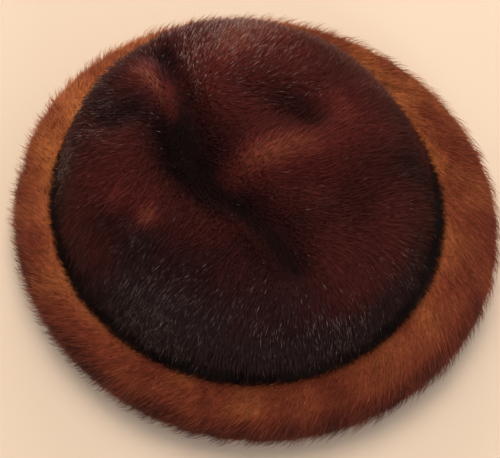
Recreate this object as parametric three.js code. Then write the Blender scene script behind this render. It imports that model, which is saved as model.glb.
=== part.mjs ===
// A fur hat in millimetres, +Z up, standing on its brim: a puffed crown with a crease pressed into it,
// a low side band under the crown, and a rolled brim in a lighter fur round the band.
// X runs across the head and Y along it, with the back of the hat at +Y.
// The fur's outer form is a coat of pointed locks, fused to the wall that carries them.

import * as THREE from "three";

// Sizes over all, each level being an oval that is ovalRatio times as long as it is wide.
const brimHalfWidth = 130.5;
const brimHeight = 37;
const crownHalfWidth = 98;
const hatHeight = 90;
const ovalRatio = 1.06;

// The head opening, and the band that rises from it to the crown's seam.
const headHalfWidth = 86;
const bandLean = 1;
const bandHeight = 42;
const bandLift = 2;

// Walls: the skin with its stiffening, and the fur that stands on it.
const skin = 2.5;
const pile = 8.5;
const seamPile = 4;

// The clearance between two pieces that are sewn together.
const seamGap = 0.35;

// Locks: each is two columns wide and lockRows long, and its neighbour starts half a lock further on.
// The brim's fur lies slantwise, turned by brimSlant columns from one row to the next.
const columns = 90;
const lockRows = 5;
const crownLock = 2.2;
const bandLock = 1.6;
const brimLock = 1.8;
const brimSlant = -0.35;

// Rows of the crown from its seam to its middle, over the fur and along the skin inside, and of the roll.
const crownFurRows = 27;
const crownSkinRows = 7;
const rollRows = 10;

// How far the brim's edge swells out of a true oval, as waves round it: their number, their reach, and the
// degrees at which they reach furthest. What is nearer the head swells less, and the head opening not at all.
const swells = [
  { waves: 1, reach: 7.1, peak: -52 },
  { waves: 2, reach: 1.4, peak: -58 },
  { waves: 3, reach: 0.8, peak: 75 },
];

// How far the crown swells out of a true oval over its seam, in the same way, and how far it leans there.
const crownSwells = [{ waves: 2, reach: 4, peak: 35 }];
const lean = { x: 1.7, y: -0.3 };

// The crown's outline from the seam to the middle: shares of crownHalfWidth, and of its rise over the seam.
const crownOutline = [
  { reach: 0.975, rise: 0.05 },
  { reach: 1.0, rise: 0.17 },
  { reach: 0.995, rise: 0.32 },
  { reach: 0.975, rise: 0.47 },
  { reach: 0.93, rise: 0.63 },
  { reach: 0.86, rise: 0.78 },
  { reach: 0.76, rise: 0.89 },
  { reach: 0.61, rise: 0.965 },
  { reach: 0.42, rise: 0.995 },
  { reach: 0.2, rise: 1.0 },
  { reach: 0.0, rise: 1.0 },
];

// The band's fur from its tips on the brim up to the seam: shares of the way out from neck to tip, and up.
const bandOutline = [
  { out: 1.05, up: 0.13 },
  { out: 0.86, up: 0.38 },
  { out: 0.5, up: 0.67 },
  { out: 0.13, up: 0.9 },
];

// Where the brim tucks under the band's fur: shares of the roll's width, from its inner face, and of its
// height.
const tuckOutline = [
  { out: 0.0, up: 0.46 },
  { out: 0.12, up: 0.61 },
  { out: 0.25, up: 0.78 },
  { out: 0.36, up: 0.9 },
];

// The roll from the foot up over its crest to the tuck, in the same shares.
const rollOutline = [
  { out: 0.9, up: 0.09 },
  { out: 0.975, up: 0.26 },
  { out: 1.0, up: 0.48 },
  { out: 0.965, up: 0.71 },
  { out: 0.88, up: 0.88 },
  { out: 0.76, up: 0.975 },
  { out: 0.63, up: 1.0 },
  { out: 0.5, up: 0.975 },
];

// The flat ring that the hat stands on, in shares of the roll's width, and how far the brim turns up inside
// it, as a share of its height.
const foot = { from: 0.12, to: 0.8, turnUp: 0.12 };

// Folds pressed into the crown's top, each a line of places: shares of crownHalfWidth and of its length,
// the fold's half width as a share of crownHalfWidth, and its depth as a share of the crown's rise.
// A fold of less than no depth is a ridge.
const folds = {
  crease: [
    { x: 0.38, y: 0.72, half: 0.08, depth: 0.12 },
    { x: 0.31, y: 0.6, half: 0.1, depth: 0.24 },
    { x: 0.2, y: 0.49, half: 0.12, depth: 0.34 },
    { x: 0.07, y: 0.42, half: 0.15, depth: 0.4 },
    { x: -0.06, y: 0.31, half: 0.18, depth: 0.43 },
    { x: -0.15, y: 0.12, half: 0.18, depth: 0.42 },
    { x: -0.19, y: -0.09, half: 0.15, depth: 0.38 },
    { x: -0.26, y: -0.27, half: 0.14, depth: 0.33 },
    { x: -0.35, y: -0.43, half: 0.13, depth: 0.26 },
    { x: -0.42, y: -0.56, half: 0.11, depth: 0.12 },
  ],
  hollow: [
    { x: -0.08, y: -0.18, half: 0.14, depth: 0.06 },
    { x: 0.08, y: -0.34, half: 0.16, depth: 0.14 },
    { x: 0.1, y: -0.5, half: 0.16, depth: 0.15 },
    { x: 0.0, y: -0.67, half: 0.14, depth: 0.08 },
  ],
  dimple: [
    { x: -0.02, y: 0.66, half: 0.08, depth: 0.16 },
    { x: -0.14, y: 0.73, half: 0.1, depth: 0.2 },
  ],
  dip: [
    { x: 0.4, y: 0.18, half: 0.1, depth: 0.1 },
    { x: 0.42, y: 0.02, half: 0.1, depth: 0.14 },
    { x: 0.39, y: -0.2, half: 0.1, depth: 0.11 },
  ],
  ridge: [
    { x: -0.05, y: 0.01, half: 0.09, depth: -0.05 },
    { x: 0.05, y: -0.08, half: 0.1, depth: -0.08 },
    { x: 0.35, y: -0.35, half: 0.1, depth: -0.08 },
    { x: 0.6, y: -0.59, half: 0.1, depth: -0.03 },
  ],
  lip: [
    { x: 0.2, y: 0.71, half: 0.08, depth: -0.06 },
    { x: 0.08, y: 0.56, half: 0.08, depth: -0.1 },
  ],
};

// Folds fade out between these two shares of the crown's half width, and near the seam over this share
// of the crown's rise.
const foldFade = { from: 0.84, to: 0.99, rise: 0.45 };

// The crown's locks fade in from the middle over these shares of its half width, and from the seam over
// this share of its rise.
const lockFade = { from: 0.3, to: 0.65, rise: 0.2 };

// A lock rises from its root to its highest point at this share of its length, and drops to its tip.
const lockPeak = 0.8;

// The seam that closes the brim's strip of fur: degrees round from the hat's +X side, and its depth.
const brimSeam = { at: 116, depth: 1.6 };

const colours = { crown: 0x35160f, band: 0x241210, brim: 0x7d4020 };

// Places that the sizes give.
const brimInner = headHalfWidth + skin + seamGap;
const rollWidth = brimHalfWidth - brimInner;
const seamInner = headHalfWidth + bandLean;
const neck = seamInner + skin + seamPile;
const crownSeat = bandHeight + seamGap;
const crownRise = hatHeight - crownSeat;
const seamColumn = Math.round((brimSeam.at / 360) * columns);

const smooth = (from, to, value) => THREE.MathUtils.smoothstep(value, from, to);

// One row of a section: its place, and the share of a lock's height that it carries. Every section runs
// up its outer side and down its inner one, so against the lie of its fur.
const at = (r, z, fur = 0) => ({ r, z, fur, turn: 0 });

// Rows laid out evenly along a smooth line through a section's points.
function smoothRows(points, count, fur = 0) {
  const line = new THREE.SplineCurve(points.map(({ r, z }) => new THREE.Vector2(r, z)));
  return line.getSpacedPoints(count).map(({ x, y }) => at(x, y, fur));
}

// The way out of a section at one of its rows.
function outwards(rows, row) {
  const before = rows[Math.max(row - 1, 0)];
  const after = rows[Math.min(row + 1, rows.length - 1)];
  return new THREE.Vector2(after.z - before.z, before.r - after.r).normalize();
}

// How high the back of a lock is, at a row counted along the fur, as a share of its greatest height.
function lockHeight(column, along) {
  const start = column % 2 ? lockRows / 2 : 0;
  const share = ((along + start) % lockRows) / lockRows;
  return share < lockPeak ? share / lockPeak : (1 - share) / (1 - lockPeak);
}

// How far a table of swells reaches at an angle.
function swellAt(table, angle) {
  const wave = ({ waves, reach, peak }) => reach * Math.cos(waves * (angle - THREE.MathUtils.degToRad(peak)));
  return table.reduce((sum, swell) => sum + wave(swell), 0);
}

// A point of a section, carried round the oval.
function onOval(r, z, angle) {
  const outside = Math.max(r - headHalfWidth, 0) / (brimHalfWidth - headHalfWidth);
  const reach = r + outside * swellAt(swells, angle);
  return new THREE.Vector3(reach * Math.cos(angle), reach * ovalRatio * Math.sin(angle), z);
}

// A row of a section at one column, with its fur raised by a height.
function raised(rows, row, column, height) {
  const { r, z, fur, turn } = rows[row];
  const out = outwards(rows, row).multiplyScalar(fur * height);
  return onOval(r + out.x, z + out.y, ((column + turn) / columns) * 2 * Math.PI);
}

// The same, with the lock that lies there. The fur lies towards the section's first row.
function furred(rows, row, column, lock) {
  return raised(rows, row, column, lock * lockHeight(column, rows.length - row));
}

// How deep one fold is at a place, by the stretch of its line where it is deepest.
function foldDepth(line, x, y) {
  let deepest = 0;
  for (let i = 1; i < line.length; i += 1) {
    const [a, b] = [line[i - 1], line[i]];
    const [dx, dy] = [b.x - a.x, b.y - a.y];
    const along = THREE.MathUtils.clamp(((x - a.x) * dx + (y - a.y) * dy) / (dx * dx + dy * dy), 0, 1);
    const away = Math.hypot(x - a.x - along * dx, y - a.y - along * dy);
    const half = THREE.MathUtils.lerp(a.half, b.half, along);
    const depth = THREE.MathUtils.lerp(a.depth, b.depth, along) * Math.exp(-((away / half) ** 2));
    if (Math.abs(depth) > Math.abs(deepest)) deepest = depth;
  }
  return deepest;
}

// A point of the crown, let down by the folds over it, and swelling and leaning over the seam.
function folded(point) {
  const [x, y] = [point.x / crownHalfWidth, point.y / (crownHalfWidth * ovalRatio)];
  const inside = 1 - smooth(foldFade.from, foldFade.to, Math.hypot(x, y));
  const above = smooth(0, foldFade.rise, (point.z - crownSeat) / crownRise);
  const depth = Object.values(folds).reduce((sum, line) => sum + foldDepth(line, x, y), 0);
  const drop = crownRise * depth * inside;
  const swell = swellAt(crownSwells, Math.atan2(y, x));
  const shift = new THREE.Vector3(lean.x + swell * x, lean.y + swell * y * ovalRatio, -drop);
  return point.add(shift.multiplyScalar(above));
}

// The two faces between neighbouring rows and columns, from the corners of the square that they fill.
const square = (a, b, c, d) => [a, b, c, a, c, d];

// A closed surface over a list of points.
function surface(points, faces) {
  const geometry = new THREE.BufferGeometry().setFromPoints(points);
  geometry.setIndex(faces);
  geometry.computeVertexNormals();
  return geometry;
}

// A ring: a closed section carried round the oval. `place` gives the point of a row at a column.
function ringGeometry(count, place) {
  const [points, faces] = [[], []];
  const corner = (column, row) => (column % columns) * count + (row % count);
  for (let column = 0; column < columns; column += 1) {
    for (let row = 0; row < count; row += 1) {
      points.push(place(row, column));
      const [over, next] = [column + 1, row + 1];
      faces.push(...square(corner(column, row), corner(over, row), corner(over, next), corner(column, next)));
    }
  }
  return surface(points, faces);
}

// A cap: an open section whose first and last rows are single points on the axis.
function capGeometry(count, place) {
  const last = count - 1;
  const points = [place(0, 0), place(last, 0)];
  const faces = [];
  const corner = (column, row) => 2 + (row - 1) * columns + (column % columns);
  for (let row = 1; row < last; row += 1) {
    for (let column = 0; column < columns; column += 1) {
      points.push(place(row, column));
      const [here, beside] = [corner(column, row), corner(column + 1, row)];
      if (row === 1) faces.push(0, beside, here);
      if (row + 1 === last) faces.push(here, beside, 1);
      else faces.push(...square(here, beside, corner(column + 1, row + 1), corner(column, row + 1)));
    }
  }
  return surface(points, faces);
}

// The crown: the skin inside from its middle to the seam, then the fur from the seam to the middle.
function crownGeometry() {
  const onCrown = ({ reach, rise }) => at(reach * crownHalfWidth, crownSeat + rise * crownRise);
  const fur = smoothRows([at(neck, crownSeat), ...crownOutline.map(onCrown)], crownFurRows);
  fur.forEach((row) => {
    const clear = smooth(lockFade.from, lockFade.to, row.r / crownHalfWidth);
    row.fur = clear * smooth(0, lockFade.rise, (row.z - crownSeat) / crownRise);
  });
  const wall = skin + pile;
  const above = fur.filter(({ z }) => z > crownSeat + wall);
  const inside = above.map(({ r, z }, row) => {
    const out = outwards(above, row);
    return at(row < above.length - 1 ? r - out.x * wall : 0, z - out.y * wall);
  });
  const inner = smoothRows([at(seamInner, crownSeat), ...inside], crownSkinRows);
  const rows = [...inner.reverse(), ...fur];
  return capGeometry(rows.length, (row, column) => folded(furred(rows, row, column, crownLock)));
}

const onRoll = ({ out, up }) => at(brimInner + out * rollWidth, up * brimHeight);

// The side band: a thin wall inside the brim, with fur that lies out over the brim's crest.
function bandGeometry() {
  const underside = tuckOutline.map(onRoll).map(({ r, z }) => at(r - seamGap, z + seamGap));
  const tip = underside[underside.length - 1];
  const fur = ({ out, up }) => at(neck + out * (tip.r - neck), tip.z + up * (bandHeight - tip.z), 1);
  const rows = [
    at(headHalfWidth, bandLift),
    at(headHalfWidth + skin, bandLift),
    ...underside,
    ...bandOutline.map(fur),
    at(neck, bandHeight),
    at(seamInner, bandHeight),
    at((seamInner + headHalfWidth) / 2, (bandHeight + bandLift) / 2),
  ];
  return ringGeometry(rows.length, (row, column) => furred(rows, row, column, bandLock));
}

// The brim: a padded roll on a flat foot. Its fur lies slantwise, and is parted at the seam.
function brimGeometry() {
  const tuck = tuckOutline.map(onRoll).reverse();
  const roll = smoothRows([...rollOutline.map(onRoll), tuck[0]], rollRows, 1).slice(0, -1);
  const slanted = roll.map((row, i) => ({ ...row, turn: brimSlant * (rollRows - i) }));
  const footEdge = { ...at(brimInner + foot.to * rollWidth, 0), turn: brimSlant * rollRows };
  const rows = [
    at(brimInner + foot.from * rollWidth, 0),
    footEdge,
    ...slanted,
    ...tuck,
    at(brimInner, foot.turnUp * brimHeight),
  ];
  return ringGeometry(rows.length, (row, column) =>
    column === seamColumn ? raised(rows, row, column, -brimSeam.depth) : furred(rows, row, column, brimLock),
  );
}

// A named piece in its own fur.
function piece(name, geometry, color) {
  const material = new THREE.MeshStandardMaterial({ color, roughness: 0.85, metalness: 0 });
  const mesh = new THREE.Mesh(geometry, material);
  mesh.name = name;
  return mesh;
}

const hat = new THREE.Group();
hat.add(
  piece("crown", crownGeometry(), colours.crown),
  piece("side_band", bandGeometry(), colours.band),
  piece("brim", brimGeometry(), colours.brim),
);

// The origin is on the floor, under the middle of the hat's reach.
const middle = new THREE.Box3().setFromObject(hat).getCenter(new THREE.Vector3());
hat.position.set(-middle.x, -middle.y, 0);

export default hat;
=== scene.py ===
"""A mink hat lying on its brim: a puffed dark crown, a near-black side band and a honey-brown rolled brim.

Each piece of the frame is dressed in two layers: an underfur body, which takes the place of the plain
solid, and coats of separate hairs that grow out of it. Lengths are in metres.
"""

import math

import bpy
import numpy as np
from mathutils import Matrix, Vector
from mathutils.kdtree import KDTree


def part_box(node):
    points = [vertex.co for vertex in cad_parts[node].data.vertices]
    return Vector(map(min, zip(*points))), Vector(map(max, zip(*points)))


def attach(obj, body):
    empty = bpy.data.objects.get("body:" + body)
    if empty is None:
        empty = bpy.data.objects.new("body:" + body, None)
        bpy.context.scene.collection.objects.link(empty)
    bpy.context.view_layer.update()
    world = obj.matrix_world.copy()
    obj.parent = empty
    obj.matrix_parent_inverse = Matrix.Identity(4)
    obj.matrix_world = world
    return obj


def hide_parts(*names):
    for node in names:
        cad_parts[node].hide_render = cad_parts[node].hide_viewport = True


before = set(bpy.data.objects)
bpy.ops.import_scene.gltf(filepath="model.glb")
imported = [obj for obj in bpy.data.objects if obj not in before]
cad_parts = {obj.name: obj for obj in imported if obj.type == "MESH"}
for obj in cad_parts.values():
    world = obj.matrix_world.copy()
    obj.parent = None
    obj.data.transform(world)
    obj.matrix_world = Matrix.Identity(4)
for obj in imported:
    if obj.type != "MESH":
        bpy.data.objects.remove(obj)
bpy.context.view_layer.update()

MM = 0.001
OVAL = 1.06  # each level of the hat is this many times as long as it is wide

# The places that the frame gives. The crown, the band and the brim's edge each have their own middle.
crown_low, crown_high = (np.array(corner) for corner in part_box("crown"))
band_low, band_high = (np.array(corner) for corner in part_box("side_band"))
brim_low, brim_high = (np.array(corner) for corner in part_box("brim"))
CROWN_MIDDLE = (crown_low + crown_high)[:2] / 2
BAND_MIDDLE = (band_low + band_high)[:2] / 2
BRIM_MIDDLE = (brim_low + brim_high)[:2] / 2
CROWN_HALF = (crown_high - crown_low)[0] / 2
BAND_HALF = (band_high - band_low)[0] / 2
BRIM_HALF = (brim_high - brim_low)[0] / 2
SEAM_Z = crown_low[2]

# Where the seam of the brim's strip of fur lies, in degrees round from +X.
BRIM_SEAM = 117

# The way in plan from the hat's middle to the viewer's side.
NEAR = np.array([-math.cos(math.radians(30)), -math.sin(math.radians(30))])

# The crease across the crown, from the far side to the near one, in shares of its half width and length.
CREASE_SHARES = [
    (0.37, 0.70), (0.30, 0.59), (0.20, 0.48), (0.07, 0.41), (-0.05, 0.31), (-0.14, 0.12), (-0.18, -0.09),
    (-0.25, -0.26), (-0.38, -0.48),
]
CREASE = CROWN_MIDDLE + CROWN_HALF * np.array([(x, y * OVAL) for x, y in CREASE_SHARES])

# Underfur: the size of its facets, and how far it lies under the outer form, which the hairs fill.
FACET = 2.7 * MM
INSET = 1.0 * MM

# Where the fur ends: how far from its middle the crown's side begins, how high the skin of its inner wall
# goes over the seam, how far from its middle and how high over the floor the band's fur begins, and how far
# the brim's fur goes in under the band.
CROWN_SIDE_REACH = 87 * MM
INNER_WALL_HEIGHT = 18 * MM
BAND_FUR_REACH = 90.5 * MM
BAND_FUR_HEIGHT = 32 * MM
BRIM_TUCK = 3 * MM

# Hairs: how far under the underfur's surface a hair starts, the height over the floor that none goes below,
# how many make a tuft, at what share of its length a hair bends, and how far each strays from its fellows.
ROOT_DEPTH = 0.4 * MM
FLOOR_GAP = 0.25 * MM
TUFT_HAIRS = 22
BEND_AT = 0.45
STRAY = 0.1


# Fields over the surface


def unit(v):
    """Vectors brought to length one."""
    return v / np.maximum(np.linalg.norm(v, axis=-1, keepdims=True), 1e-12)


def smoothstep(low, high, value):
    """A smooth rise from 0 at low to 1 at high."""
    t = np.clip((value - low) / (high - low), 0, 1)
    return t * t * (3 - 2 * t)


def round_about(points, middle):
    """How far points are from a middle, as if the hat's ovals were circles, and the way round in radians."""
    x, y = points[:, 0] - middle[0], (points[:, 1] - middle[1]) / OVAL
    return np.hypot(x, y), np.arctan2(y, x)


def from_line(points, line):
    """In plan, the way to each point from the nearest place on a line, and the line's heading there."""
    nearest_yet = np.full(len(points), np.inf)
    offset, heading = np.zeros((len(points), 2)), np.zeros((len(points), 2))
    for start, end in zip(line, line[1:]):
        along = end - start
        share = np.clip((points[:, :2] - start) @ along / (along @ along), 0, 1)
        gap = points[:, :2] - start - share[:, None] * along
        size = np.linalg.norm(gap, axis=1)
        nearer = size < nearest_yet
        nearest_yet[nearer] = size[nearer]
        offset[nearer] = gap[nearer]
        heading[nearer] = along / np.linalg.norm(along)
    return offset, heading


def mottle(points, size, seed):
    """A soft random field from -1 to 1, whose patches are about `size` across."""
    rng = np.random.default_rng(seed)
    total = np.zeros(len(points))
    waves = 9
    wave_length = 2.2 * size
    strength = 3.6
    for _ in range(waves):
        way = unit(rng.normal(size=3)) * rng.uniform(0.6, 1.5) * 2 * math.pi / wave_length
        total += np.sin(points @ way + rng.uniform(0, 2 * math.pi))
    return np.clip(total / strength, -1, 1)


def in_crease(points, half):
    """1 on the line of the crease, fading out over about `half` to each side."""
    offset, _ = from_line(points, CREASE)
    return np.exp(-((np.linalg.norm(offset, axis=1) / half) ** 2))


def from_crease(points):
    """The crown's fur lies away from its crease, along it in its depth, straight down the near side, and
    straight over the far rim."""
    offset, heading = from_line(points, CREASE)
    valley_half = 9 * MM
    share = (points[:, :2] - CROWN_MIDDLE) @ NEAR / CROWN_HALF
    pull = 1.1 * smoothstep(0.2, 0.9, share) - 1.7 * smoothstep(-0.3, -0.7, share)
    return unit(unit(offset + valley_half * heading) + pull[:, None] * NEAR)


def from_head(points):
    """The band's and the brim's fur lies away from the head."""
    return unit(points[:, :2] - BAND_MIDDLE)


def lie(points, normals, away, slant, stray):
    """Which way the fur lies on the surface: outwards in plan and down the sides, turned clockwise."""
    out = away(points)
    round_way = np.stack([-out[:, 1], out[:, 0], np.zeros(len(points))], axis=1)
    down = unit(np.cross(round_way, normals))
    across = unit(np.cross(normals, down))
    turn = slant + stray * mottle(points, 26 * MM, 5)
    return unit(down * np.cos(turn)[:, None] - across * np.sin(turn)[:, None])


# Underfur bodies


def points_of(mesh):
    """A mesh's points and their normals."""
    count = len(mesh.vertices)
    places = np.empty(count * 3, np.float32)
    normals = np.empty(count * 3, np.float32)
    mesh.vertices.foreach_get("co", places)
    mesh.vertices.foreach_get("normal", normals)
    return places.reshape(-1, 3).astype(float), normals.reshape(-1, 3).astype(float)


def underfur(node, name, furred, pressed=None, thin=False):
    """A body in the place of a frame node: its form, softened, and sunk by INSET where it carries fur. What
    `pressed` gives is pressed in as well. A node with a thin wall keeps its own facets, cut finer."""
    body = bpy.data.objects.new(name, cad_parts[node].data.copy())
    bpy.context.collection.objects.link(body)
    body.data.materials.clear()
    if thin:
        weld = body.modifiers.new("joined corners", "WELD")
        weld.merge_threshold = 0.01 * MM
        body.modifiers.new("finer facets", "SUBSURF").levels = 1
    else:
        remesh = body.modifiers.new("even facets", "REMESH")
        remesh.mode = "VOXEL"
        remesh.voxel_size = FACET
        soften = body.modifiers.new("soften", "SMOOTH")
        soften.factor = 0.5
        soften.iterations = 5
    graph = bpy.context.evaluated_depsgraph_get()
    mesh = bpy.data.meshes.new_from_object(body.evaluated_get(graph))
    body.modifiers.clear()
    body.data = mesh
    places, normals = points_of(mesh)
    mask = furred(places, normals)
    depth = INSET + (pressed(places) if pressed else 0)
    places -= normals * (depth * mask)[:, None]
    places[:, 2] = np.maximum(places[:, 2], 0)
    mesh.vertices.foreach_set("co", places.astype(np.float32).ravel())
    mesh.update()
    mesh.shade_smooth()
    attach(body, "root")
    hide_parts(node)
    return body


def crown_furred(places, normals):
    """1 on the crown's outside, 0 on the skin inside it and along its seam."""
    reach, _ = round_about(places, CROWN_MIDDLE)
    outwards = np.einsum("ij,ij->i", unit(places[:, :2] - CROWN_MIDDLE), normals[:, :2])
    side = (outwards > 0.2) & (reach > CROWN_SIDE_REACH)
    inner_wall = (outwards < 0) & (places[:, 2] < SEAM_Z + INNER_WALL_HEIGHT)
    shown = ((normals[:, 2] > 0.05) | side) & ~inner_wall
    return (shown & (places[:, 2] > SEAM_Z + 0.5 * MM)).astype(float)


def crease_press(places):
    """The crease is drawn in further than the plain form has it, as a sharp line in a soft valley."""
    return 2.4 * MM * in_crease(places, 7 * MM) + 2.0 * MM * in_crease(places, 18 * MM)


def band_furred(places, normals):
    """1 on the band's fur, between the brim and the crown's seam."""
    reach, _ = round_about(places, BAND_MIDDLE)
    outwards = np.einsum("ij,ij->i", from_head(places), normals[:, :2])
    height = places[:, 2]
    shown = (height > BAND_FUR_HEIGHT) & (height < SEAM_Z - 1.2 * MM) & (normals[:, 2] > -0.45)
    return (shown & (reach > BAND_FUR_REACH) & (outwards > -0.3)).astype(float)


def brim_furred(places, normals):
    """1 on the roll and its foot, 0 where the brim is tucked under the band."""
    reach, _ = round_about(places, BAND_MIDDLE)
    return ((reach > BAND_HALF - BRIM_TUCK) | (normals[:, 2] < -0.8)).astype(float)


# Hairs


def sow(body, furred, count, rng):
    """Roots spread evenly over a body's furred faces, with the body's smooth normals there."""
    mesh = body.data
    mesh.calc_loop_triangles()
    corners = np.empty(len(mesh.loop_triangles) * 3, np.int32)
    mesh.loop_triangles.foreach_get("vertices", corners)
    corners = corners.reshape(-1, 3)
    places, normals = points_of(mesh)
    mask = furred(places, normals)[corners].mean(axis=1)
    a, b, c = (places[corners[:, i]] for i in range(3))
    area = np.linalg.norm(np.cross(b - a, c - a), axis=1) * mask
    pick = rng.choice(len(corners), size=count, p=area / area.sum())
    u, v = rng.random(count), rng.random(count)
    flip = u + v > 1
    u[flip], v[flip] = 1 - u[flip], 1 - v[flip]
    share = np.stack([1 - u - v, u, v], axis=1)[:, :, None]
    roots = (places[corners[pick]] * share).sum(axis=1)
    return roots, unit((normals[corners[pick]] * share).sum(axis=1))


def nearest(points, centres):
    """For each point, the number of the centre that is nearest."""
    tree = KDTree(len(centres))
    for number, centre in enumerate(centres):
        tree.insert(centre, number)
    tree.balance()
    return np.array([tree.find(point)[1] for point in points])


def crown_growth(points, normals):
    """The crown's fur is short in the crease, and long on its side, where it hangs over the band."""
    return 1 - 0.2 * in_crease(points, 8 * MM) + 0.6 * smoothstep(0.5, 0, normals[:, 2])


def even_growth(points, normals):
    """Fur of one length, pressed short where the hat rests."""
    return 1 - 0.45 * (normals[:, 2] < -0.6)


def brim_growth(points, normals):
    """The brim's fur is short beside the band, and pressed short where the hat rests."""
    reach, _ = round_about(points, BAND_MIDDLE)
    beside = smoothstep(BAND_HALF + 11 * MM, BAND_HALF + 2 * MM, reach)
    return even_growth(points, normals) * (1 - 0.45 * beside)


def hair_mesh(name, rings, tips, attributes):
    """A joined mesh of closed three-sided hairs, from the rings of each and its tip."""
    count, levels = len(tips), len(rings)
    points = np.concatenate([*rings, tips[:, None, :]], axis=1)
    per = 3 * levels + 1
    faces = [(2, 1, 0)]
    for level in range(levels - 1):
        low, high = 3 * level, 3 * level + 3
        for side in range(3):
            beside = (side + 1) % 3
            faces += [(low + side, low + beside, high + beside), (low + side, high + beside, high + side)]
    top = 3 * (levels - 1)
    faces += [(top + side, top + (side + 1) % 3, per - 1) for side in range(3)]
    faces = (np.array(faces)[None] + (np.arange(count) * per)[:, None, None]).reshape(-1, 3)
    mesh = bpy.data.meshes.new(name)
    mesh.vertices.add(count * per)
    mesh.vertices.foreach_set("co", points.reshape(-1).astype(np.float32))
    mesh.loops.add(faces.size)
    mesh.loops.foreach_set("vertex_index", faces.reshape(-1).astype(np.int32))
    mesh.polygons.add(len(faces))
    mesh.polygons.foreach_set("loop_start", np.arange(0, faces.size, 3, dtype=np.int32))
    mesh.update(calc_edges=True)
    for label, values in attributes.items():
        spread = values if values.ndim == 2 else np.repeat(values[:, None], per, axis=1)
        layer = mesh.attributes.new(label, "FLOAT", "POINT")
        layer.data.foreach_set("value", spread.reshape(-1).astype(np.float32))
    return mesh


def coat(name, body, fur, material, count, length, width, lift, gather, seed, bends):
    """A coat of hairs on a body, as one piece. Each leaves its root at a slope, bends along the lie of the
    fur where `bends` says so, and is drawn towards the leader of its tuft by the share `gather`. `lift` holds
    the slopes at root and tip in degrees, and `fur` the functions that say where the fur grows, which way,
    how long and in what tone.

    A real mink guard hair is about 0.1 mm thick. These are drawn 0.28 to 0.4 mm wide, as coarse as they have
    to be to show and to cover the underfur."""
    rng = np.random.default_rng(seed)
    roots, normals = sow(body, fur["furred"], count, rng)
    ways = lie(roots, normals, fur["away"], fur["slant"], 0.2)
    ways = unit(ways + STRAY * rng.normal(size=ways.shape))
    ways = unit(ways - normals * np.einsum("ij,ij->i", ways, normals)[:, None])
    lengths = length * rng.uniform(0.65, 1.15, count) * fur["growth"](roots, normals)
    flare = fur["flare"] * smoothstep(0.4, -0.3, normals[:, 2])
    rises = [np.radians(slope * rng.uniform(0.6, 1.35, count) + flare) for slope in lift]
    first, last = (unit(ways * np.cos(rise)[:, None] + normals * np.sin(rise)[:, None]) for rise in rises)
    middles = roots + first * (lengths * BEND_AT)[:, None]
    tips = middles + last * (lengths * (1 - BEND_AT))[:, None]
    leaders = rng.choice(count, size=max(count // TUFT_HAIRS, 1), replace=False)
    leader = leaders[nearest(roots, roots[leaders])]
    tips += (tips[leader] - tips) * gather
    middles += (middles[leader] - middles) * gather * BEND_AT
    for points in (middles, tips):
        points[:, 2] = np.maximum(points[:, 2], FLOOR_GAP)
    sides = unit(np.cross(tips - roots, normals))
    backs = unit(np.cross(sides, tips - roots))
    half = width / 2 * rng.uniform(0.75, 1.25, count)

    def ring(centres, share):
        """The three corners of each hair round its centre, at a share of its full width."""
        corners = [(math.cos(a), math.sin(a)) for a in (math.radians(d) for d in (90, 210, 330))]
        out = [centres + (sides * x + backs * y) * (half * share)[:, None] for x, y in corners]
        return np.stack(out, axis=1)

    rings = [ring(roots - normals * ROOT_DEPTH, 1.0)]
    along = [0, 0, 0, 1]
    if bends:
        rings.append(ring(middles, 0.8))
        along = [0, 0, 0, BEND_AT, BEND_AT, BEND_AT, 1]
    attributes = {
        "along": np.tile(np.array(along, float), (count, 1)),
        "tone": fur["tone"](roots),
        "shade": rng.random(count),
        # Painted mauve-grey sheen, and pale tips that are painted glints.
        "painted_sheen": fur["painted_sheen"](roots),
        "painted_glint": (rng.random(count) < fur["painted_glint"](roots)) * rng.random(count) ** 0.5,
    }
    hairs = bpy.data.objects.new(name, hair_mesh(name, rings, tips, attributes))
    bpy.context.collection.objects.link(hairs)
    hairs.data.materials.append(material)
    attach(hairs, "root")
    return hairs
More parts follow.
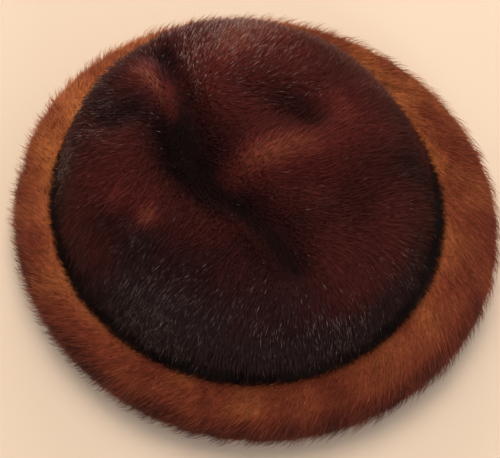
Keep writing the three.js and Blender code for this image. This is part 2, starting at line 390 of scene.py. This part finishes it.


# Tones: 0 is a piece's darkest fur and 1 its warmest

# Warm and dark patches of the crown, in shares of its half width and half length from its middle. Partly
# the fur's own wine and purple colour, partly painted highlights on lit ridges, crests and the far top rim,
# and painted shade in hollows.
CROWN_PATCHES = [
    {"x": -0.09, "y": 0.05, "half": 0.09, "tone": 0.26},
    {"x": 0.00, "y": -0.03, "half": 0.10, "tone": 0.34},
    {"x": 0.10, "y": -0.12, "half": 0.10, "tone": 0.33},
    {"x": 0.21, "y": -0.21, "half": 0.10, "tone": 0.28},
    {"x": 0.34, "y": -0.34, "half": 0.11, "tone": 0.20},
    {"x": 0.48, "y": -0.50, "half": 0.12, "tone": 0.12},
    {"x": 0.49, "y": -0.23, "half": 0.09, "tone": 0.22},
    {"x": 0.48, "y": -0.33, "half": 0.09, "tone": 0.16},
    {"x": 0.39, "y": 0.28, "half": 0.09, "tone": -0.13},
    {"x": 0.40, "y": 0.16, "half": 0.12, "tone": -0.14},
    {"x": 0.40, "y": -0.02, "half": 0.13, "tone": -0.18},
    {"x": 0.37, "y": -0.18, "half": 0.10, "tone": -0.19},
    {"x": 0.42, "y": -0.68, "half": 0.16, "tone": -0.22},
    {"x": 0.08, "y": -0.56, "half": 0.20, "tone": -0.12},
    {"x": -0.01, "y": -0.39, "half": 0.08, "tone": 0.10},
    {"x": 0.64, "y": 0.42, "half": 0.26, "tone": 0.36},
    {"x": 0.32, "y": 0.34, "half": 0.18, "tone": 0.12},
    {"x": 0.19, "y": 0.73, "half": 0.09, "tone": 0.26},
    {"x": 0.17, "y": 0.61, "half": 0.08, "tone": 0.42},
    {"x": 0.12, "y": 0.52, "half": 0.07, "tone": 0.30},
    {"x": -0.01, "y": 0.64, "half": 0.09, "tone": -0.24},
    {"x": -0.10, "y": 0.76, "half": 0.12, "tone": -0.12},
    {"x": -0.24, "y": 0.60, "half": 0.16, "tone": 0.10},
    {"x": -0.04, "y": 0.40, "half": 0.12, "tone": -0.22},
    {"x": -0.17, "y": 0.28, "half": 0.15, "tone": -0.28},
    {"x": -0.22, "y": 0.06, "half": 0.12, "tone": -0.18},
    {"x": -0.48, "y": 0.52, "half": 0.20, "tone": 0.10},
    {"x": -0.52, "y": 0.42, "half": 0.06, "tone": 0.24},
    {"x": -0.53, "y": 0.24, "half": 0.06, "tone": 0.48},
    {"x": -0.64, "y": 0.44, "half": 0.10, "tone": -0.14},
    {"x": -0.74, "y": 0.14, "half": 0.20, "tone": -0.28},
    {"x": -0.70, "y": -0.20, "half": 0.26, "tone": -0.16},
    {"x": -0.62, "y": -0.52, "half": 0.24, "tone": -0.12},
]

# Where the crown's fur takes a painted mauve-grey sheen, and where its guard hairs have pale tips that are
# painted glints, in the same shares.
CROWN_PAINTED_SHEEN = [
    {"x": -0.98, "y": 0.16, "half": 0.16, "painted_sheen": 0.80},
    {"x": -0.93, "y": -0.08, "half": 0.16, "painted_sheen": 0.90},
    {"x": -0.87, "y": -0.30, "half": 0.16, "painted_sheen": 0.70},
    {"x": -0.76, "y": 0.10, "half": 0.16, "painted_sheen": 0.40},
    {"x": -0.72, "y": -0.52, "half": 0.20, "painted_sheen": 0.40},
    {"x": -0.04, "y": 0.78, "half": 0.24, "painted_sheen": 0.50},
    {"x": -0.40, "y": 0.88, "half": 0.14, "painted_sheen": 0.60},
    {"x": -0.64, "y": 0.80, "half": 0.12, "painted_sheen": 0.60},
    {"x": -0.84, "y": 0.58, "half": 0.12, "painted_sheen": 0.60},
    {"x": 0.70, "y": 0.52, "half": 0.22, "painted_sheen": 0.40},
]
CROWN_PAINTED_GLINTS = [
    {"x": -0.40, "y": 0.88, "half": 0.13, "share": 0.60},
    {"x": -0.04, "y": 0.82, "half": 0.18, "share": 0.26},
    {"x": -0.56, "y": 0.48, "half": 0.06, "share": 0.10},
    {"x": -0.63, "y": 0.22, "half": 0.08, "share": 0.14},
    {"x": -0.94, "y": 0.02, "half": 0.18, "share": 0.30},
    {"x": -0.76, "y": -0.16, "half": 0.16, "share": 0.12},
    {"x": -0.72, "y": -0.52, "half": 0.14, "share": 0.16},
    {"x": -0.56, "y": -0.77, "half": 0.12, "share": 0.16},
    {"x": -0.42, "y": -0.88, "half": 0.12, "share": 0.16},
    {"x": -0.04, "y": -0.97, "half": 0.15, "share": 0.16},
    {"x": 0.68, "y": 0.48, "half": 0.26, "share": 0.75},
    {"x": 0.59, "y": 0.05, "half": 0.16, "share": 0.10},
]


def over_crown(points, patches, what):
    """The sum of one column of a table of soft round patches over the crown."""
    x = (points[:, 0] - CROWN_MIDDLE[0]) / CROWN_HALF
    y = (points[:, 1] - CROWN_MIDDLE[1]) / (CROWN_HALF * OVAL)
    total = np.zeros(len(points))
    for patch in patches:
        away = np.hypot(x - patch["x"], y - patch["y"]) / patch["half"]
        total += patch[what] * np.exp(-(away**2))
    return total


def near_rim_shade_and_sheen(points):
    """1 on the near side of the crown's rim, fading out round to the far side and up on to the top. It sets
    where painted shade darkens the crown's side away from the light, and where its painted mauve-grey sheen
    lies.
    """
    reach, angle = round_about(points, CROWN_MIDDLE)
    near = (0.5 + 0.5 * np.cos(angle - math.radians(-135))) ** 2
    return near * smoothstep(0.86, 1.02, reach / CROWN_HALF)


def crown_tone(points):
    """Red-brown on top, darkened to near black by painted shade in the crease and down the near side."""
    # Painted shade in the crease: a broad dark band and a narrow dark line along it.
    valley = 0.22 * in_crease(points, 16 * MM) + 0.16 * in_crease(points, 5 * MM)
    tone = 0.43 + 0.06 * mottle(points, 20 * MM, 11) + over_crown(points, CROWN_PATCHES, "tone")
    # Painted shade down the near side of the rim.
    return np.clip(tone - valley - 0.4 * near_rim_shade_and_sheen(points), 0, 1)


def crown_painted_sheen(points):
    """How much painted mauve-grey sheen the crown's fur takes: most of all round its near edge."""
    patches = over_crown(points, CROWN_PAINTED_SHEEN, "painted_sheen") * (1 + 0.4 * mottle(points, 10 * MM, 67))
    return np.clip(near_rim_shade_and_sheen(points) ** 1.5 + patches, 0, 1)


def crown_painted_glints(points):
    """The share of the crown's hairs with pale tips, which are painted glints."""
    return 0.004 + over_crown(points, CROWN_PAINTED_GLINTS, "share") * (1 + 0.6 * mottle(points, 7 * MM, 61))


def band_tone(points):
    """Near black, partly the fur's own colour and partly painted shade for its groove under the crown, a
    little warmer here and there.
    """
    return np.clip(0.3 + 0.25 * mottle(points, 18 * MM, 17), 0, 1)


def brim_tone(points):
    """Honey beside the band and rust over the crest. Painted shade darkens the near outer edge to
    mauve-brown, and painted light makes the far side and its outer edge more golden. Golden too on one side
    of the strip's seam."""
    inner, angle = round_about(points, BAND_MIDDLE)
    outer, _ = round_about(points, BRIM_MIDDLE)
    degrees = np.degrees(angle)
    share = (inner - BAND_HALF) / (inner - BAND_HALF + BRIM_HALF - outer + 3 * MM)
    near = 0.5 - 0.5 * np.cos(angle - math.radians(30))
    # Painted shade darkens the near outer edge, and painted light lightens the far outer edge a little.
    edge = smoothstep(0.55, 0.95, share) * (0.42 * near - 0.10 * (1 - near))
    before_seam = smoothstep(40, 95, degrees) * (1 - smoothstep(BRIM_SEAM - 2, BRIM_SEAM + 2, degrees))
    # Painted light on the far side, and the strip's own golden colour before its seam.
    golden = 0.16 * (1 - near) + 0.08 * before_seam
    patches = 0.11 * mottle(points, 17 * MM, 23) + 0.05 * mottle(points, 6 * MM, 29)
    tone = 0.46 + golden - 0.1 * np.sin(np.clip(share, 0, 1) * math.pi) + patches
    return np.clip(tone - edge, 0, 1)


def few_glints(points):
    """A pale tip here and there, as painted glints."""
    return np.full(len(points), 0.01)


def no_sheen(points):
    """No painted sheen."""
    return np.zeros(len(points))


# Materials


def linear(code):
    """A colour written as an sRGB hex code, in linear light."""
    parts = [int(code[i : i + 2], 16) / 255 for i in (1, 3, 5)]
    return (*(c / 12.92 if c <= 0.04045 else ((c + 0.055) / 1.055) ** 2.4 for c in parts), 1)


def add(tree, kind, settings=None, stops=(), **links):
    """Adds a node with its settings, the sockets that feed it and, for a ramp, its stops."""
    node = tree.nodes.new(kind)
    for name, value in (settings or {}).items():
        if name in node.inputs:
            node.inputs[name].default_value = value
        else:
            setattr(node, name, value)
    for name, source in links.items():
        tree.links.new(source, node.inputs[int(name[1:]) if name[1:].isdigit() else name.replace("_", " ")])
    for number, (place, code) in enumerate(stops):
        elements = node.color_ramp.elements
        element = elements[number] if number < len(elements) else elements.new(place)
        element.position = place
        element.color = linear(code)
    return node


def finish_of(name):
    """A new material with its node tree and its main shader."""
    material = bpy.data.materials.new(name)
    material.use_nodes = True
    tree = material.node_tree
    return material, tree, tree.nodes["Principled BSDF"]


def guard_hair(name, tones, sheen_code, glint_code, roughness):
    """Mink guard hair: a smooth shaft that is darker at its root, each hair a little off its neighbours in
    colour, so that the coat shows fine streaks. Where the fur takes a painted sheen its shafts take the sheen
    colour. Some tips are painted pale, as painted glints over the dark fur. `along` runs from 0 at a hair's
    root to 1 at its tip."""
    material, tree, shader = finish_of(name)
    tone, shade, along, painted_sheen, painted_glint = (
        add(tree, "ShaderNodeAttribute", {"attribute_name": what}).outputs["Fac"]
        for what in ("tone", "shade", "along", "painted_sheen", "painted_glint")
    )
    spread = add(tree, "ShaderNodeMapRange", {"To Min": -0.05, "To Max": 0.05}, Value=shade)
    mixed = add(tree, "ShaderNodeMath", {"operation": "ADD"}, _0=tone, _1=spread.outputs[0])
    colour = add(tree, "ShaderNodeValToRGB", stops=tones, Fac=mixed.outputs[0])
    end = add(tree, "ShaderNodeMapRange", {"From Min": 0.6, "From Max": 0.8}, Value=along)
    pale = add(tree, "ShaderNodeMath", {"operation": "MULTIPLY"}, _0=painted_glint, _1=end.outputs[0])
    shaft = add(tree, "ShaderNodeMix", {"data_type": "RGBA"}, _0=painted_sheen, _6=colour.outputs["Color"])
    shaft.inputs[7].default_value = linear(sheen_code)
    tip = add(tree, "ShaderNodeMix", {"data_type": "RGBA"}, _0=pale.outputs[0], _6=shaft.outputs[2])
    tip.inputs[7].default_value = linear(glint_code)
    root = add(tree, "ShaderNodeMapRange", {"To Min": 0.84, "To Max": 1.0, "From Max": 0.6}, Value=along)
    dim = add(tree, "ShaderNodeVectorMath", {"operation": "SCALE"}, _0=tip.outputs[2], Scale=root.outputs[0])
    tree.links.new(dim.outputs[0], shader.inputs["Base Color"])
    shader.inputs["Roughness"].default_value = roughness
    shader.inputs["Specular IOR Level"].default_value = 0.15
    return material


def underfur_down(name, tones, sheen_code):
    """Mink underfur: dense matt down seen between the guard hairs, in soft clumps about 3 mm across. It
    follows the colour of the fur above it, a shade darker, and takes its painted sheen where the fur does."""
    material, tree, shader = finish_of(name)
    place = add(tree, "ShaderNodeNewGeometry").outputs["Position"]
    tone, painted_sheen = (
        add(tree, "ShaderNodeAttribute", {"attribute_name": what}).outputs["Fac"] for what in ("tone", "painted_sheen")
    )
    clumps = add(tree, "ShaderNodeTexNoise", {"Scale": 1 / (3 * MM), "Detail": 4.0}, Vector=place)
    spread = add(tree, "ShaderNodeMapRange", {"To Min": -0.15, "To Max": 0.15}, Value=clumps.outputs["Fac"])
    mixed = add(tree, "ShaderNodeMath", {"operation": "ADD"}, _0=tone, _1=spread.outputs[0])
    colour = add(tree, "ShaderNodeValToRGB", stops=tones, Fac=mixed.outputs[0])
    down = add(tree, "ShaderNodeMix", {"data_type": "RGBA"}, _0=painted_sheen, _6=colour.outputs["Color"])
    down.inputs[7].default_value = linear(sheen_code)
    dim = add(tree, "ShaderNodeVectorMath", {"operation": "SCALE", "Scale": 0.7}, _0=down.outputs[2])
    tree.links.new(dim.outputs[0], shader.inputs["Base Color"])
    bump = add(tree, "ShaderNodeBump", {"Strength": 0.6, "Distance": 0.6 * MM}, Height=clumps.outputs["Fac"])
    tree.links.new(bump.outputs[0], shader.inputs["Normal"])
    shader.inputs["Roughness"].default_value = 0.9
    shader.inputs["Specular IOR Level"].default_value = 0.05
    return material


def pelt_suede():
    """The flesh side of the pelt, dressed as suede: a matt tan-brown nap with faint cloudy wear. A real nap
    is finer than the 0.8 mm that it is drawn at here, which is as coarse as it needs to be to show."""
    material, tree, shader = finish_of("pelt suede, dressed flesh side")
    place = add(tree, "ShaderNodeNewGeometry").outputs["Position"]
    clouds = add(tree, "ShaderNodeTexNoise", {"Scale": 1 / (24 * MM), "Detail": 5.0}, Vector=place)
    nap = add(tree, "ShaderNodeTexNoise", {"Scale": 1 / (0.8 * MM), "Detail": 3.0}, Vector=place)
    tans = [(0.3, "#4A3526"), (0.7, "#6B4E38")]
    colour = add(tree, "ShaderNodeValToRGB", stops=tans, Fac=clouds.outputs["Fac"])
    tree.links.new(colour.outputs["Color"], shader.inputs["Base Color"])
    bump = add(tree, "ShaderNodeBump", {"Strength": 0.35, "Distance": 0.2 * MM}, Height=nap.outputs["Fac"])
    tree.links.new(bump.outputs[0], shader.inputs["Normal"])
    shader.inputs["Roughness"].default_value = 0.95
    shader.inputs["Sheen Weight"].default_value = 0.05
    return material


MAHOGANY_TONES = [(0.0, "#1A0D0B"), (0.2, "#341717"), (0.6, "#6C2C28"), (1.0, "#AA5E44")]
# The band's near black is partly the fur's own colour and partly painted shade under the crown's overhang.
BLACK_BROWN_TONES = [(0.0, "#1E1615"), (0.6, "#362A28"), (1.0, "#4A3A36")]
HONEY_TONES = [(0.0, "#4E2522"), (0.35, "#8E442F"), (0.7, "#BC7042"), (1.0, "#DEA666")]
# The colours of the painted sheen: mauve-grey on the dark fur, sandy on the brim.
SHEEN_MAUVE_GREY, SHEEN_SANDY = "#3A2A2B", "#8A6A5A"

# The fourth colour of each is that of its pale tips, which are painted glints.
mahogany = guard_hair("mahogany mink guard hair", MAHOGANY_TONES, SHEEN_MAUVE_GREY, "#D8C8C4", 0.5)
black_brown = guard_hair("black-brown mink guard hair", BLACK_BROWN_TONES, SHEEN_MAUVE_GREY, "#8A7A76", 0.5)
honey = guard_hair("honey mink guard hair", HONEY_TONES, SHEEN_SANDY, "#F0D0A8", 0.5)
mahogany_down = underfur_down("mahogany mink underfur", MAHOGANY_TONES, SHEEN_MAUVE_GREY)
black_brown_down = underfur_down("black-brown mink underfur", BLACK_BROWN_TONES, SHEEN_MAUVE_GREY)
honey_down = underfur_down("honey mink underfur", HONEY_TONES, SHEEN_SANDY)
suede = pelt_suede()


def dress(body, fur, down):
    """Down on the furred faces of a body, and suede on the rest."""
    mesh = body.data
    mesh.materials.append(down)
    mesh.materials.append(suede)
    places, normals = points_of(mesh)
    mask = fur["furred"](places, normals)
    for label in ("tone", "painted_sheen"):
        layer = mesh.attributes.new(label, "FLOAT", "POINT")
        layer.data.foreach_set("value", fur[label](places).astype(np.float32))
    starts = np.empty(len(mesh.polygons), np.int32)
    mesh.polygons.foreach_get("loop_start", starts)
    corners = np.empty(len(mesh.loops), np.int32)
    mesh.loops.foreach_get("vertex_index", corners)
    mesh.polygons.foreach_set("material_index", (mask[corners[starts]] < 0.5).astype(np.int32))


# The crown

CROWN_FUR = {
    "furred": crown_furred, "away": from_crease, "slant": 0.1, "growth": crown_growth, "flare": 24,
    "tone": crown_tone, "painted_sheen": crown_painted_sheen, "painted_glint": crown_painted_glints,
}
crown = underfur("crown", "crown_underfur", crown_furred, crease_press)
dress(crown, CROWN_FUR, mahogany_down)
coat(
    "crown_nap", crown, CROWN_FUR, mahogany,
    count=48000, length=6.5 * MM, width=0.4 * MM, lift=(17, 17), gather=0.15, seed=31, bends=False,
)
coat(
    "crown_top_nap", crown, CROWN_FUR, mahogany,
    count=28000, length=8 * MM, width=0.32 * MM, lift=(21, 21), gather=0.15, seed=33, bends=False,
)
coat(
    "crown_guard_hairs", crown, CROWN_FUR, mahogany,
    count=13000, length=10 * MM, width=0.36 * MM, lift=(32, 9), gather=0.12, seed=32, bends=True,
)

# The side band

BAND_FUR = {
    "furred": band_furred, "away": from_head, "slant": 0.15, "growth": even_growth, "flare": 0,
    "tone": band_tone, "painted_sheen": no_sheen, "painted_glint": few_glints,
}
band = underfur("side_band", "band_underfur", band_furred, thin=True)
dress(band, BAND_FUR, black_brown_down)
coat(
    "band_nap", band, BAND_FUR, black_brown,
    count=14000, length=10 * MM, width=0.34 * MM, lift=(18, 18), gather=0.15, seed=41, bends=False,
)

# The brim

BRIM_FUR = {
    "furred": brim_furred, "away": from_head, "slant": 0.75, "growth": brim_growth, "flare": 0,
    "tone": brim_tone, "painted_sheen": no_sheen, "painted_glint": few_glints,
}
brim = underfur("brim", "brim_underfur", brim_furred)
dress(brim, BRIM_FUR, honey_down)
coat(
    "brim_nap", brim, BRIM_FUR, honey,
    count=48000, length=6.5 * MM, width=0.4 * MM, lift=(16, 16), gather=0.18, seed=51, bends=False,
)
coat(
    "brim_top_nap", brim, BRIM_FUR, honey,
    count=26000, length=9 * MM, width=0.32 * MM, lift=(19, 19), gather=0.18, seed=53, bends=False,
)
coat(
    "brim_guard_hairs", brim, BRIM_FUR, honey,
    count=10000, length=12 * MM, width=0.28 * MM, lift=(40, 14), gather=0.12, seed=52, bends=True,
)


# The floor, the lights and the camera


def floor():
    """A plain pale floor, matt, in warm cream."""
    mesh = bpy.data.meshes.new("floor")
    half = 3.0
    corners = [(-half, -half, 0), (half, -half, 0), (half, half, 0), (-half, half, 0)]
    mesh.from_pydata(corners, [], [(0, 1, 2, 3)])
    material, _, shader = finish_of("cream matt board")
    shader.inputs["Base Color"].default_value = linear("#DAC9B6")
    shader.inputs["Roughness"].default_value = 0.9
    mesh.materials.append(material)
    ground = bpy.data.objects.new("floor", mesh)
    bpy.context.collection.objects.link(ground)


def area_light(name, place, aim, size, power, code):
    """A soft square light at a place, aimed at a point."""
    data = bpy.data.lights.new(name, "AREA")
    data.shape = "SQUARE"
    data.size = size
    data.energy = power
    data.color = linear(code)[:3]
    light = bpy.data.objects.new(name, data)
    light.location = place
    light.rotation_euler = (Vector(aim) - Vector(place)).to_track_quat("-Z", "Y").to_euler()
    bpy.context.collection.objects.link(light)


def photo_camera():
    """The camera at the photograph's angle: its azimuth and elevation, its distance and what it aims at."""
    azimuth, elevation, distance = math.radians(-60), math.radians(64.28), 0.7
    aim = Vector((-12.62, -5.72, 29)) * MM
    back = Vector(
        (
            math.sin(azimuth) * math.cos(elevation),
            -math.cos(azimuth) * math.cos(elevation),
            math.sin(elevation),
        )
    )
    data = bpy.data.cameras.new("camera")
    data.sensor_width = 36
    data.lens = 88.9
    camera = bpy.data.objects.new("camera", data)
    right = Vector((math.cos(azimuth), math.sin(azimuth), 0))
    up = back.cross(right)
    turn = Matrix((right, up, back)).transposed().to_4x4()
    camera.matrix_world = Matrix.Translation(aim + back * distance) @ turn
    bpy.context.collection.objects.link(camera)
    bpy.context.scene.camera = camera


floor()
photo_camera()
area_light("overhead", (0.35, 0.25, 1.5), (0, 0, 0.04), 0.9, 17, "#FFF0E0")
area_light("far_window", (1.25, 0.75, 0.5), (0, 0, 0.06), 0.7, 9, "#FFF6EE")
area_light("near_window", (-0.9, -1.1, 0.75), (0, 0, 0.05), 0.5, 6, "#F4F6FF")
world = bpy.data.worlds.new("soft room")
bpy.context.scene.world = world
world.use_nodes = True
room = world.node_tree.nodes["Background"]
room.inputs["Color"].default_value = linear("#FFF4EA")
room.inputs["Strength"].default_value = 0.55
bpy.context.scene.view_settings.view_transform = "Standard"
